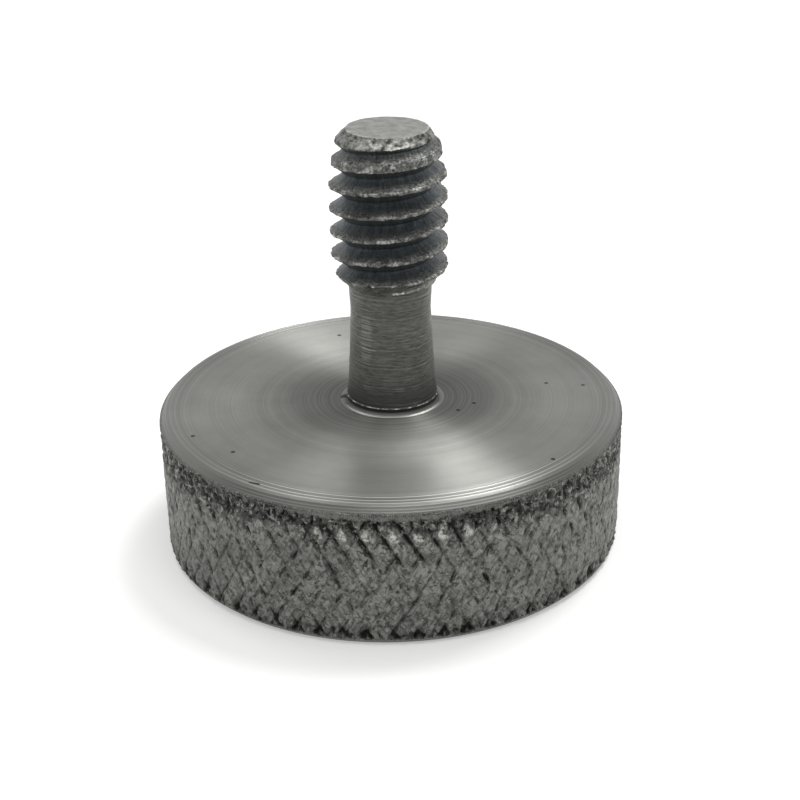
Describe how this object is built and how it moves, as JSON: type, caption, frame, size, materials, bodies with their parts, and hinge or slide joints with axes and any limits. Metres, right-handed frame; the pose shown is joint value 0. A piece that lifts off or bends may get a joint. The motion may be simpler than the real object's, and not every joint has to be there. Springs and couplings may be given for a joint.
{
  "type": "thumb screw",
  "caption": "Turned steel thumb screw: thick diamond-knurled disc head with a short stud, relieved next to the head and threaded above.",
  "frame": {"origin": "centre of the flat outer face of the head, which the screw stands on", "axes": "+Z along the screw's axis, from the head to the stud's tip; +X and +Y lie in the head's outer face"},
  "size_m": [0.026, 0.026, 0.0235],
  "materials": {
    "screw_steel": "bare turned steel, satin on the face, dull and torn in the knurl and thread"
  },
  "bodies": {
    "root": {"thumb_screw": "screw_steel"}
  },
  "joints": []
}
